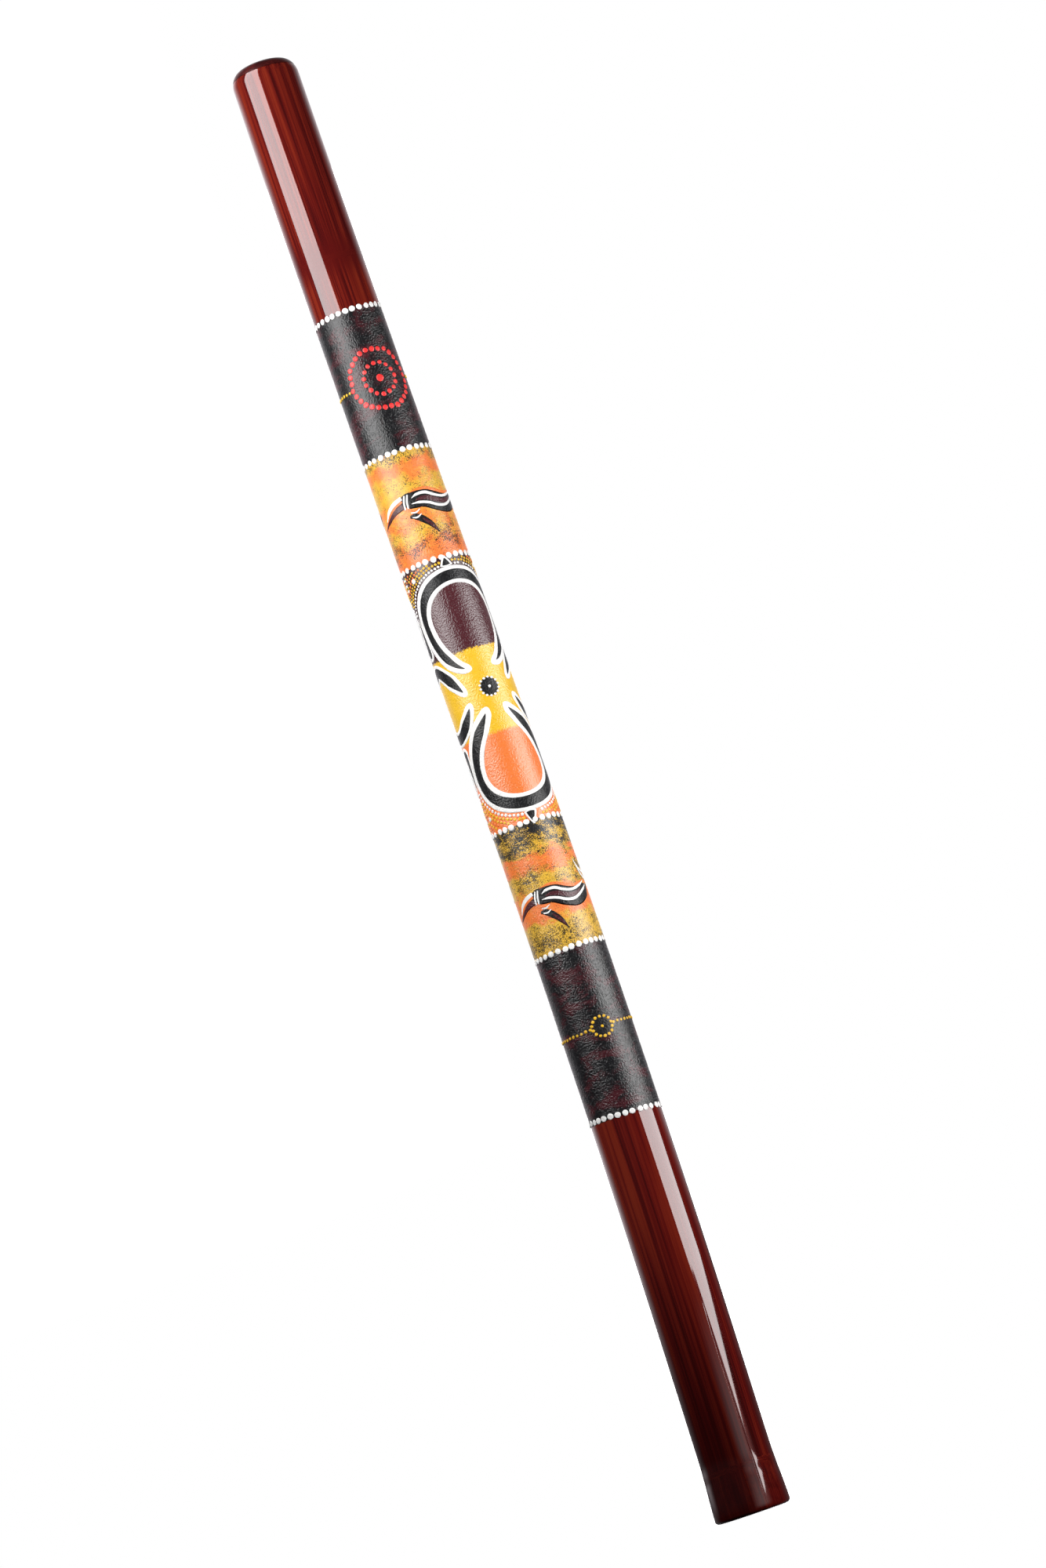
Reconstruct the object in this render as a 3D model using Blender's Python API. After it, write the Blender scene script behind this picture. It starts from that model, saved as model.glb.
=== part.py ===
"""Painted bamboo didgeridoo.

The culm stands on its bell end with the mouth end up. The origin is the centre of the bell's bottom face, +Z runs
up the tube, and the culm bows towards +X. All sizes are metres.
"""
from math import asin, ceil, cos, pi, radians, sin

import bmesh
import bpy

# The culm
LENGTH = 1.200
MOUTH_DIAMETER = 0.0540
BODY_DIAMETER = 0.0572
BELL_DIAMETER = 0.0607
FULL_BODY_HEIGHT = 0.400      # the culm tapers above this height
FLARE_HEIGHT = 0.050          # the bell swells below this height
WALL = 0.0080
BELL_EDGE_RADIUS = 0.0030
BELL_BORE_EDGE = 0.0015

# The bow of the culm: its depth, and two exponents that set where it is deepest and how it fades
BOW_DEPTH = 0.00585
BOW_SKEW = 0.68
BOW_FADE = 1.6

# Inside the culm, the septum at each node is knocked through and leaves a rim
FIRST_NODE_HEIGHT = 0.037
NODE_PITCH = 0.331
RIM_PROUD = 0.0025
RIM_THICKNESS = 0.0080
RIM_CREST = 0.0030

# The mouth ring: a bullnose that its spigot holds in the bore
RING_HEIGHT = 0.0074
RING_WIDTH = 0.0125           # from the culm's outside to the mouth hole
ROUND_HEIGHT = 0.0136         # height of the rounding, which runs down onto the culm
LIP_EDGE_RADIUS = 0.0020
SPIGOT_LENGTH = 0.0180
SPIGOT_END_WALL = 0.0015

# Paint, laid in a scraped relief
UPPER_LACQUER = 0.216         # bare lacquered length below the mouth
BANDS = (
    ("upper_dark_paint", 0.1190, (0.030, 0.026, 0.028), 0.42),
    ("upper_ochre_paint", 0.0905, (0.820, 0.420, 0.060), 0.48),
    ("middle_ground_paint", 0.2180, (0.860, 0.500, 0.055), 0.45),
    ("lower_ochre_paint", 0.1030, (0.760, 0.400, 0.060), 0.48),
    ("lower_dark_paint", 0.1340, (0.035, 0.026, 0.028), 0.42),
)
COAT_THICKNESS = 0.0004
COAT_PROUD = 0.0001           # how far a coat stands above the lacquer
PAINT_MARGIN = 0.0015         # paint beyond the outermost dot rings

# Raised dots: diameter, height and spacing
WHITE_DOT = (0.0048, 0.0007, 0.0059)
YELLOW_DOT = (0.0027, 0.0006, 0.0038)
UPPER_LINE_DROP = 0.0610      # yellow line below the top edge of each dark band
LOWER_LINE_DROP = 0.0655
DOT_SHOULDER = 0.6            # share of a dot's height along the tube that its flat top takes
WEB_WIDTH = 0.0012            # web of paint that joins the dots of a ring
WEB_THICKNESS = 0.0003

GAP = 0.0003                  # clearance between touching pieces
SIDES = 40
STATION_STEP = 0.070          # longest stretch between two sections of a bowed piece
ARC_STEPS = 4
SHARP_ANGLE = radians(40)

TOP_RADIUS = MOUTH_DIAMETER / 2
HOLE_RADIUS = TOP_RADIUS - RING_WIDTH
ROUND_DEPTH = RING_WIDTH - LIP_EDGE_RADIUS
CULM_TOP = LENGTH - RING_HEIGHT - GAP
SPIGOT_END = CULM_TOP - SPIGOT_LENGTH
PAINT_TOP = LENGTH - UPPER_LACQUER
PAINT_BOTTOM = PAINT_TOP - sum(height for _, height, _, _ in BANDS)
RELIEF_DEPTH = GAP + COAT_THICKNESS - COAT_PROUD


def clear_objects():
    for old in list(bpy.data.objects):
        bpy.data.objects.remove(old, do_unlink=True)


def share(value, low, high):
    """How far value lies from low to high, held between 0 and 1."""
    return min(max((value - low) / (high - low), 0.0), 1.0)


def bow(height):
    """Sideways offset of the culm's centreline."""
    along = share(height, 0.0, LENGTH) ** BOW_SKEW
    return BOW_DEPTH * max(sin(pi * along), 0.0) ** BOW_FADE


def outer_radius(height):
    taper = share(height, FULL_BODY_HEIGHT, LENGTH)
    swell = share(height, FLARE_HEIGHT, 0.0)
    swell = swell * swell * (3 - 2 * swell)
    return (BODY_DIAMETER + (MOUTH_DIAMETER - BODY_DIAMETER) * taper + (BELL_DIAMETER - BODY_DIAMETER) * swell) / 2


def bore_radius(height):
    return outer_radius(height) - WALL


def stations(low, high, step=STATION_STEP):
    """Even heights from low to high, both included."""
    count = max(1, ceil((high - low) / step))
    return [low + (high - low) * k / count for k in range(count + 1)]


def corner(radius, height, size, start):
    """Rounded corner about a centre: a quarter circle of (radius, height) points from the start angle."""
    turns = [radians(start) + radians(90) * k / ARC_STEPS for k in range(ARC_STEPS + 1)]
    return [(radius + size * cos(turn), height + size * sin(turn)) for turn in turns]


def bullnose(low, high):
    """The mouth's rounding between two heights, as (radius, height) points from below."""
    def angle(height):
        return asin(share(height, LENGTH - ROUND_HEIGHT, LENGTH))

    first, last = angle(low), angle(high)
    turns = [first + (last - first) * k / ARC_STEPS for k in range(ARC_STEPS + 1)]
    crest = HOLE_RADIUS + LIP_EDGE_RADIUS
    return [(crest + ROUND_DEPTH * cos(turn), LENGTH - ROUND_HEIGHT * (1 - sin(turn))) for turn in turns]


def principled(name, colour, roughness, metallic=0.0):
    material = bpy.data.materials.new(name)
    material.use_nodes = True
    shader = material.node_tree.nodes["Principled BSDF"]
    shader.inputs["Base Color"].default_value = (*colour, 1.0)
    shader.inputs["Roughness"].default_value = roughness
    shader.inputs["Metallic"].default_value = metallic
    material.diffuse_color = (*colour, 1.0)
    return material


def add_piece(name, shape, material):
    """Turn a bmesh into a named object with a material and smooth shading."""
    bmesh.ops.recalc_face_normals(shape, faces=shape.faces)
    mesh = bpy.data.meshes.new(name)
    shape.to_mesh(mesh)
    shape.free()
    mesh.shade_smooth()
    mesh.set_sharp_from_angle(angle=SHARP_ANGLE)
    mesh.materials.append(material)
    piece = bpy.data.objects.new(name, mesh)
    bpy.context.collection.objects.link(piece)
    return piece


def turned(name, outline, material):
    """Closed ring turned from a closed outline of (radius, height) points, following the bow."""
    shape = bmesh.new()
    rows = []
    for radius, height in outline:
        angles = [2 * pi * k / SIDES for k in range(SIDES)]
        rows.append([shape.verts.new((bow(height) + radius * cos(a), radius * sin(a), height)) for a in angles])
    for row, after in zip(rows, rows[1:] + rows[:1]):
        for k in range(SIDES):
            nxt = (k + 1) % SIDES
            shape.faces.new((row[k], row[nxt], after[nxt], after[k]))
    return add_piece(name, shape, material)


def node_heights():
    """Heights of the bamboo's nodes that lie in the open bore."""
    heights = []
    height = FIRST_NODE_HEIGHT
    while height + RIM_THICKNESS < SPIGOT_END:
        heights.append(height)
        height += NODE_PITCH
    return heights


def bore_outline():
    """The bore from the top down to the bell's inner edge, with a rim at each node."""
    points = []
    upper = CULM_TOP
    for node in reversed(node_heights()):
        for height in reversed(stations(node + RIM_THICKNESS / 2, upper)):
            points.append((bore_radius(height), height))
        for height in (node + RIM_CREST / 2, node - RIM_CREST / 2):
            points.append((bore_radius(height) - RIM_PROUD, height))
        upper = node - RIM_THICKNESS / 2
    for height in reversed(stations(BELL_BORE_EDGE, upper)):
        points.append((bore_radius(height), height))
    return points


def culm_outline():
    """The culm's section: bell edge, swelling, relief for the paint, mouth rounding, then the bore."""
    bell = outer_radius(0.0) - BELL_EDGE_RADIUS
    points = corner(bell, BELL_EDGE_RADIUS, BELL_EDGE_RADIUS, -90)
    relief_low = PAINT_BOTTOM - PAINT_MARGIN
    relief_high = PAINT_TOP + PAINT_MARGIN
    swell = stations(BELL_EDGE_RADIUS, FLARE_HEIGHT, FLARE_HEIGHT / ARC_STEPS)[1:]
    below = stations(FLARE_HEIGHT, relief_low)[1:]
    points += [(outer_radius(height), height) for height in swell + below]
    points += [(outer_radius(height) - RELIEF_DEPTH, height) for height in stations(relief_low, relief_high)]
    points += [(outer_radius(height), height) for height in stations(relief_high, LENGTH - ROUND_HEIGHT)[:-1]]
    points += bullnose(LENGTH - ROUND_HEIGHT, CULM_TOP)
    points += bore_outline()
    points.append((bore_radius(0.0) + BELL_BORE_EDGE, 0.0))
    return points


def ring_outline():
    """The mouth ring's section: bullnose, lip edge, mouth hole, spigot."""
    base = LENGTH - RING_HEIGHT
    points = bullnose(base, LENGTH)
    points += corner(HOLE_RADIUS + LIP_EDGE_RADIUS, LENGTH - LIP_EDGE_RADIUS, LIP_EDGE_RADIUS, 90)[1:]
    spigot = bore_radius(CULM_TOP) - GAP
    points += [(HOLE_RADIUS, base), (spigot - SPIGOT_END_WALL, SPIGOT_END), (spigot, SPIGOT_END), (spigot, base)]
    return points


def make_coats():
    """One thin sleeve of ground paint in each band, with a gap to the relief and to the next coat."""
    high = PAINT_TOP + PAINT_MARGIN - GAP
    edge = PAINT_TOP
    for name, height, colour, roughness in BANDS:
        edge -= height
        low = edge + GAP / 2
        if name == BANDS[-1][0]:
            low = edge - PAINT_MARGIN + GAP
        levels = stations(low, high)
        inside = [(outer_radius(level) - RELIEF_DEPTH + GAP, level) for level in levels]
        outside = [(outer_radius(level) + COAT_PROUD, level) for level in levels]
        turned(name, outside + inside[::-1], principled(name, colour, roughness))
        high = edge - GAP / 2


def dot_section(shape, height, seat, turn, half_height, proud):
    """Four corners of a dot ring's section at one turn, wider at its seat than at its top."""
    corners = []
    for level, up in ((0.0, -1.0), (proud, -DOT_SHOULDER), (proud, DOT_SHOULDER), (0.0, 1.0)):
        reach = seat + level
        place = (bow(height) + reach * cos(turn), reach * sin(turn), height + up * half_height)
        corners.append(shape.verts.new(place))
    return corners


def dot_circle(name, height, dot, material):
    """Raised dots around the culm at one height, joined by a thin web of paint."""
    diameter, proud, pitch = dot
    seat = outer_radius(height) + COAT_PROUD + GAP
    count = int(2 * pi * seat / pitch)
    shape = bmesh.new()
    rows = []
    for k in range(count):
        middle = 2 * pi * k / count
        side = diameter / 4 / seat
        rows.append(dot_section(shape, height, seat, middle - side, diameter / 2, proud))
        rows.append(dot_section(shape, height, seat, middle + side, diameter / 2, proud))
        rows.append(dot_section(shape, height, seat, middle + pi / count, WEB_WIDTH / 2, WEB_THICKNESS))
    for row, after in zip(rows, rows[1:] + rows[:1]):
        for k in range(len(row)):
            nxt = (k + 1) % len(row)
            shape.faces.new((row[k], row[nxt], after[nxt], after[k]))
    return add_piece(name, shape, material)


def make_dots():
    """White rings between the bands, and a yellow line in each dark band."""
    white = principled("white_paint", (0.86, 0.85, 0.82), 0.40)
    yellow = principled("yellow_paint", (0.80, 0.52, 0.06), 0.40)
    edge = PAINT_TOP
    dot_circle("white_dot_ring_1", edge, WHITE_DOT, white)
    for number, (_, height, _, _) in enumerate(BANDS, start=2):
        edge -= height
        dot_circle("white_dot_ring_%d" % number, edge, WHITE_DOT, white)
    lower_band_top = PAINT_BOTTOM + BANDS[-1][1]
    dot_circle("yellow_dot_line_upper", PAINT_TOP - UPPER_LINE_DROP, YELLOW_DOT, yellow)
    dot_circle("yellow_dot_line_lower", lower_band_top - LOWER_LINE_DROP, YELLOW_DOT, yellow)


def build():
    clear_objects()
    turned("bamboo_culm", culm_outline(), principled("bamboo_lacquer", (0.13, 0.014, 0.010), 0.22))
    turned("mouth_ring", ring_outline(), principled("mouth_ring_lacquer", (0.09, 0.016, 0.014), 0.30))
    make_coats()
    make_dots()


build()
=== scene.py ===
"""Painted bamboo didgeridoo: fine surfaces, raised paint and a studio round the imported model, in metres."""
from collections import defaultdict
from math import asin, ceil, cos, degrees, exp, pi, radians, sin
from random import Random

import bmesh
import bpy
import numpy as np
from mathutils import Matrix, Vector


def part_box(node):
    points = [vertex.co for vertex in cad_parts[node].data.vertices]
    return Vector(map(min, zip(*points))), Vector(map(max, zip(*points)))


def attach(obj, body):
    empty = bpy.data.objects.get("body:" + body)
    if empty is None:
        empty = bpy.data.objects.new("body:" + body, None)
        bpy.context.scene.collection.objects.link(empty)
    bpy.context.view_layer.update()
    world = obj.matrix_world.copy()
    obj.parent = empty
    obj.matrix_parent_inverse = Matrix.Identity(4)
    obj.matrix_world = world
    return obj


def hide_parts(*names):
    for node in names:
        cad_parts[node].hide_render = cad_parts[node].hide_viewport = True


bl_info = {
    "name": "Painted didgeridoo",
    "version": (1, 0, 0),
    "blender": (4, 5, 0),
    "location": "View3D > Sidebar > Didgeridoo",
    "description": "Builds the lacquered culm, its raised paint and a studio around the packed model",
    "category": "Object",
}

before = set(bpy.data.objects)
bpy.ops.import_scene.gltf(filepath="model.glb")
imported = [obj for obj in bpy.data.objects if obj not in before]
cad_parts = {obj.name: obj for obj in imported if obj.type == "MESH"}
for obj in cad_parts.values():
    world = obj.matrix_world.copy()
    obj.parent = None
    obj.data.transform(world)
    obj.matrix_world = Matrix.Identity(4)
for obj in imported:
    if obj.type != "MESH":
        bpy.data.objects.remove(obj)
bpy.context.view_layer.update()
MM = 0.001


def middle_height(node):
    """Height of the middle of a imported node."""
    return sum(corner.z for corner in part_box(node)) / 2


# Form of the culm, read from the frame
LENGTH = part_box("mouth_ring")[1].z
BELL_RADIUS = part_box("bamboo_culm")[1].y
CULM_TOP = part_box("bamboo_culm")[1].z
COAT_PROUD = 0.0001
BODY_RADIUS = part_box("lower_dark_paint")[1].y - COAT_PROUD
SPIGOT_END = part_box("mouth_ring")[0].z
RINGS = [middle_height("white_dot_ring_%d" % number) for number in range(1, 7)]
YELLOW_LINES = [middle_height("yellow_dot_line_" + place) for place in ("upper", "lower")]
PAINT_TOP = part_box("upper_dark_paint")[1].z
PAINT_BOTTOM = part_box("lower_dark_paint")[0].z

# Form of the culm that no box gives: the same taper, bow and rounding as the model
MOUTH_RADIUS = 0.0270
FULL_BODY_HEIGHT = 0.400
FLARE_HEIGHT = 0.050
WALL = 0.0080
BOW_DEPTH = 0.00585
BOW_SKEW = 0.68
BOW_FADE = 1.6
ROUND_HEIGHT = 0.0136
RING_WIDTH = 0.0125
LIP_EDGE_RADIUS = 0.0020
SPIGOT_END_WALL = 0.0015
BELL_EDGE_RADIUS = 0.0030
BELL_BORE_EDGE = 0.0015
BAMBOO_NODES = (0.037, 0.368, 0.699, 1.030)
RIM_PROUD = 0.0025
RIM_THICKNESS = 0.0080

LOBE_DEPTH = 0.00009          # natural out-of-roundness
SCAR_RISE = 0.00005           # scar of a bamboo node
SCAR_GROOVE = 0.00004         # groove under the scar

COLUMNS = 240
SEAM_DEGREES = 24.0           # a fine check in the lacquer, right of the front
SEAM_TOP = 0.165
SEAM_DEPTH = 0.00016
SEAM_REACH = 2.3
SEAM_STEP = 0.16
FRONT_DEGREES = 17.5          # the painted design's front axis, right of the camera's side
HOLE_RADIUS = MOUTH_RADIUS - RING_WIDTH
RELIEF = 0.00025              # depth that the culm is scraped by under the paint
COAT_BACK = 0.0002            # how far a coat reaches below the lacquer's surface
JOINT = 0.0003                # open joint between the culm and the mouth ring

# Raised paint
PAINT_RADIUS = 0.0279         # radius at which distances round the painted culm are measured
ACROSS = 13                   # points across a brushed stroke
TIP_WIDTH = 0.05 * MM
DROP_PROFILE = ((1.0, 0.0), (1.0, 0.30), (0.94, 0.62), (0.78, 0.86), (0.48, 0.97))
EVEN_STEP = 0.6 * MM          # distance from point to point along a brushed stroke


def bow(height):
    """Sideways offset of the centreline."""
    along = np.clip(np.asarray(height, float) / LENGTH, 0.0, 1.0) ** BOW_SKEW
    return BOW_DEPTH * np.clip(np.sin(pi * along), 0.0, 1.0) ** BOW_FADE


def plain_radius(height):
    """Outside radius of the culm, without its small irregularities."""
    height = np.asarray(height, float)
    taper = np.clip((height - FULL_BODY_HEIGHT) / (LENGTH - FULL_BODY_HEIGHT), 0.0, 1.0)
    swell = np.clip(1 - height / FLARE_HEIGHT, 0.0, 1.0)
    swell = swell * swell * (3 - 2 * swell)
    return BODY_RADIUS + (MOUTH_RADIUS - BODY_RADIUS) * taper + (BELL_RADIUS - BODY_RADIUS) * swell


def unevenness(turn, height):
    """Natural out-of-roundness, scars at the bamboo's nodes, and the fine check near the bell."""
    fade = np.clip(height / 0.03, 0.0, 1.0) * np.clip((LENGTH - height) / 0.03, 0.0, 1.0)
    lobes = np.sin(2 * turn + 1.3 + 2.1 * np.sin(5.1 * height)) + 0.6 * np.sin(3 * turn - 0.7 + 7.9 * height)
    lobes = lobes + 0.35 * np.sin(5 * turn + 2 + 19 * height) + 0.2 * np.sin(9 * turn + 31 * height)
    scars = 0.0
    for node in BAMBOO_NODES:
        if not PAINT_BOTTOM < node < PAINT_TOP:
            scars = scars + SCAR_RISE * np.exp(-((height - node) / 0.0035) ** 2)
            scars = scars - SCAR_GROOVE * np.exp(-((height - node + 0.006) / 0.0016) ** 2)
    away = (turn - radians(SEAM_DEGREES) - radians(1.2) * np.sin(40 * height)) / radians(0.5)
    check = SEAM_DEPTH * np.exp(-away ** 2) * np.clip((SEAM_TOP - height) / 0.02, 0.0, 1.0)
    return (LOBE_DEPTH * lobes + scars - check) * fade


def on_tube(turn, height, lift=0.0):
    """Points on the culm's outside: turn is 0 at the camera's side and grows towards +X."""
    turn, height = np.broadcast_arrays(np.asarray(turn, float), np.asarray(height, float))
    reach = plain_radius(height) + unevenness(turn, height) + lift
    return np.stack([bow(height) + reach * np.sin(turn), -reach * np.cos(turn), height], -1)


# Sizes and colours that a user would change

def length_of(name, text, default):
    return bpy.props.FloatProperty(
        name=name, description=text, default=default, min=0.0, precision=5, unit="LENGTH")


def colour_of(name, text, default):
    return bpy.props.FloatVectorProperty(
        name=name, description=text, default=default, size=3, min=0.0, max=1.0, subtype="COLOR")


def number_of(name, text, default):
    return bpy.props.FloatProperty(name=name, description=text, default=default, min=0.0)


class DidgeridooSizes(bpy.types.PropertyGroup):
    """Sizes of the raised paint."""
    white_dot: length_of("White dot", "Diameter of the dots in the rings between the bands", 4.7 * MM)
    white_dot_height: length_of("White dot height", "How far the ring dots stand up", 0.48 * MM)
    yellow_dot: length_of("Yellow dot", "Diameter of the dots in the yellow lines", 2.35 * MM)
    yellow_dot_pitch: length_of("Yellow dot pitch", "Distance from dot to dot in a yellow line", 3.75 * MM)
    small_dot: length_of("Small dot", "Diameter of the dots that fill the corners", 2.1 * MM)
    small_dot_height: length_of("Small dot height", "How far the smaller dots stand up", 0.40 * MM)
    stroke_height: length_of("Stroke height", "Thickness of a brushed stroke", 0.13 * MM)
    border: length_of("Border", "Width of the white borders", 4.2 * MM)


class DidgeridooColours(bpy.types.PropertyGroup):
    """Colours of the lacquer and the paints."""
    lacquer_dark: colour_of("Dark lacquer", "Darkest streaks of the stained bamboo", (0.026, 0.0024, 0.0026))
    lacquer_red: colour_of("Red lacquer", "Main colour of the stained bamboo", (0.094, 0.0048, 0.0042))
    lacquer_warm: colour_of("Warm lacquer", "Lightest streaks of the stained bamboo", (0.180, 0.0190, 0.0075))
    raw_bamboo: colour_of("Raw bamboo", "Unstained inside of the culm", (0.42, 0.27, 0.13))
    black: colour_of("Black", "Black paint", (0.0085, 0.0085, 0.0095))
    maroon: colour_of("Maroon", "Maroon paint", (0.062, 0.0105, 0.0150))
    earth: colour_of("Earth", "Dark ground under the dotted corners", (0.038, 0.0075, 0.0080))
    yellow: colour_of("Yellow", "Yellow paint", (0.73, 0.43, 0.018))
    orange: colour_of("Orange", "Orange paint", (0.75, 0.172, 0.034))
    red: colour_of("Red", "Red paint", (0.74, 0.026, 0.026))
    white: colour_of("White", "White paint", (0.80, 0.79, 0.775))


class DidgeridooStudio(bpy.types.PropertyGroup):
    """Strength of the studio's lights."""
    key: number_of("Key", "Brightness of the tall light on the left", 7.0)
    low: number_of("Low", "Brightness of the light on the right", 7.0)
    back: number_of("Back", "Brightness of the light behind the culm", 4.0)
    surroundings: number_of("Surroundings", "Brightness of the white surroundings behind", 1.0)


# Shader maths

def arithmetic(operation, reflected=False):
    """A field's method that adds the maths node of an operation. Reflected, the field comes last."""
    def method(field, *others):
        values = (*others, field) if reflected else (field, *others)
        return field.sheet.node("ShaderNodeMath", {"operation": operation}, dict(enumerate(values)))

    return method


class Field:
    """A value, colour or vector of a sheet; arithmetic on a value adds its maths nodes."""
    __add__ = __radd__ = arithmetic("ADD")
    __sub__ = arithmetic("SUBTRACT")
    __rsub__ = arithmetic("SUBTRACT", reflected=True)
    __mul__ = __rmul__ = arithmetic("MULTIPLY")
    __truediv__ = arithmetic("DIVIDE")
    __rtruediv__ = arithmetic("DIVIDE", reflected=True)
    __pow__ = arithmetic("POWER")
    __rpow__ = arithmetic("POWER", reflected=True)
    at_least = arithmetic("MAXIMUM")
    sine = arithmetic("SINE")
    cosine = arithmetic("COSINE")
    size = arithmetic("ABSOLUTE")

    def __init__(self, sheet, socket):
        self.sheet = sheet
        self.socket = socket


class Sheet:
    """A node tree under construction."""

    def __init__(self, tree, coordinates):
        self.tree = tree
        self.place = self.node("ShaderNodeTexCoord", {}, {}, coordinates)

    def node(self, kind, settings, inputs, output=0):
        """Add a node: its settings first, then the values or links of its sockets."""
        made = self.tree.nodes.new(kind)
        for name, value in settings.items():
            if name == "stops":
                self.set_stops(made.color_ramp, value)
            else:
                setattr(made, name, value)
        self.put(made, inputs)
        return Field(self, made.outputs[output])

    def put(self, node, inputs):
        """Feed a node's sockets with fields, or set them to constants."""
        for name, value in inputs.items():
            if isinstance(value, Field):
                self.tree.links.new(value.socket, node.inputs[name])
            else:
                node.inputs[name].default_value = value

    @staticmethod
    def set_stops(ramp, stops):
        while len(ramp.elements) < len(stops):
            ramp.elements.new(1.0)
        for element, (place, colour) in zip(ramp.elements, stops):
            element.position = place
            element.color = (*colour, 1.0)

    def along(self, axis):
        return self.node("ShaderNodeSeparateXYZ", {}, {0: self.place}, axis)

    def vector(self, x, y, z):
        return self.node("ShaderNodeCombineXYZ", {}, {0: x, 1: y, 2: z})

    def noise(self, place, scale, detail=2.0, rough=0.5, distortion=0.0):
        values = {"Vector": place, "Scale": scale, "Detail": detail, "Roughness": rough,
                  "Distortion": distortion}
        return self.node("ShaderNodeTexNoise", {}, values, "Fac")

    def step(self, value, low, high):
        """0 below low, 1 above high, smooth in between."""
        values = {"Value": value, "From Min": low, "From Max": high}
        return self.node("ShaderNodeMapRange", {"interpolation_type": "SMOOTHSTEP"}, values, "Result")

    def blend(self, share, first, second):
        """Colour mix: first where share is 0, second where it is 1."""
        ends = [value if isinstance(value, Field) else (*value, 1.0) for value in (first, second)]
        return self.node("ShaderNodeMix", {"data_type": "RGBA"}, {0: share, 6: ends[0], 7: ends[1]}, 2)


class Finish(Sheet):
    """A procedural material. What is the same all over is set on the shader's own sockets."""

    def __init__(self, name, constants):
        self.material = bpy.data.materials.new(name)
        self.material.use_nodes = True
        super().__init__(self.material.node_tree, "Object")
        self.shader = self.tree.nodes["Principled BSDF"]
        self.put(self.shader, constants)

    def straightened(self):
        """X, Y and Z of the surface with the bow taken out."""
        height = self.along("Z")
        swing = ((height / LENGTH).at_least(0.0) ** BOW_SKEW * pi).sine()
        lean = swing.at_least(0.0) ** BOW_FADE
        return self.along("X") - lean * BOW_DEPTH, self.along("Y"), height

    def fibres(self, place, around, along, offset=0.0, detail=3.0, rough=0.65):
        """Noise drawn out along the culm, at a straightened place."""
        x, y, height = place
        drawn_out = self.vector(x * around, y * around, height * along + offset)
        return self.noise(drawn_out, 1.0, detail, rough)

    def finished(self, tint, relief, strength, distance):
        """The material, with its colour and a bump."""
        values = {"Height": relief, "Strength": strength, "Distance": distance}
        bump = self.node("ShaderNodeBump", {}, values, "Normal")
        self.put(self.shader, {"Base Color": tint, "Normal": bump})
        return self.material

    def leathery(self, tint, strength, density=800.0):
        """The material, with the skin of thick acrylic: creases a millimetre or two apart over a grain."""
        creases = self.noise(self.place, density, 1.0)
        grain = self.noise(self.place, 1900.0, 1.0)
        return self.finished(tint, creases + grain * 0.16, strength, 0.62 * MM)


def dimmed(colour, share):
    """The colour with each part scaled by the share."""
    return [share * part for part in colour]


# Where a finish changes, as (start, end) of the change; end below start where it fades upwards
LOWER_SCAR = (0.034, 0.040)
UPPER_SCAR = (1.026, 1.032)
SCAR_PATCH = ((1.006, 1.027), (1.056, 1.031))
WARM_TOP = (0.80, 1.00)
BELL_MOTTLE = (0.060, 0.030)
# Painted shade over the lower end: darkest at the bell, fading up the culm, and weaker on the right side.
BELL_PAINTED_SHADE = (0.26, 0.03)
LESS_SHADED_SIDE = (-0.004, 0.021)  # across the culm, not up it
MAROON_EDGE = (0.7030, 0.7040)
ORANGE_EDGE = (-0.6294, -0.6258)  # of the negated height
OVER_ARCH = (0.752, 0.758)
UNDER_ARCH = (0.572, 0.566)

# Colours of worn and cut places
SCAR_TINT = (0.074, 0.0042, 0.0038)
END_GRAIN_TINT = (0.070, 0.0065, 0.0055)
PALE_OCHRE = (0.78, 0.44, 0.13)


def lacquer_finish(colours):
    """Stained bamboo under clear gloss: long fibre streaks that restart at each bamboo node, and painted
    shade that darkens the lower end, most on its left.
    """
    look = Finish("lacquered_bamboo", {
        "Roughness": 0.10, "Specular IOR Level": 0.09, "Specular Tint": (1.0, 0.10, 0.10, 1.0),
        "Coat Weight": 1.0, "Coat Roughness": 0.050, "Coat IOR": 1.635})
    place = look.straightened()
    x, _, height = place
    restart = look.step(height, *LOWER_SCAR) * 12.4 + look.step(height, *UPPER_SCAR) * 18.8
    fine = look.fibres(place, 1500, 9, restart)
    streaks = look.fibres(place, 380, 3.5, restart, rough=0.6)
    broad = look.fibres(place, 75, 4, restart, 2.0, 0.5)
    tone = fine * 0.27 + streaks * 0.45 + broad * 0.35
    tint = look.blend(look.step(tone, 0.36, 0.58), colours.lacquer_dark, colours.lacquer_red)
    warmth = tone + look.step(height, *WARM_TOP) * 0.035
    tint = look.blend(look.step(warmth, 0.50, 0.70) * 0.85, tint, colours.lacquer_warm)
    patch = look.step(height, *SCAR_PATCH[0]) * look.step(height, *SCAR_PATCH[1])
    tint = look.blend(patch * 0.85, tint, SCAR_TINT)
    mottle = look.noise(look.place, 160.0, 3.0, 0.6) * look.step(height, *BELL_MOTTLE)
    tint = look.blend(look.step(mottle, 0.46, 0.66) * 0.35, tint, colours.lacquer_dark)
    # Painted shade: the lower end is darkened towards the bell, most on the left and front, for the shade
    # that the lights leave there.
    painted_shade = look.step(height, *BELL_PAINTED_SHADE) * (1 - look.step(x, *LESS_SHADED_SIDE) * 0.75)
    tint = look.blend(painted_shade * 0.72, tint, dimmed(colours.lacquer_dark, 0.5))
    return look.finished(tint, fine + streaks, 0.06, 0.10 * MM)


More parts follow.
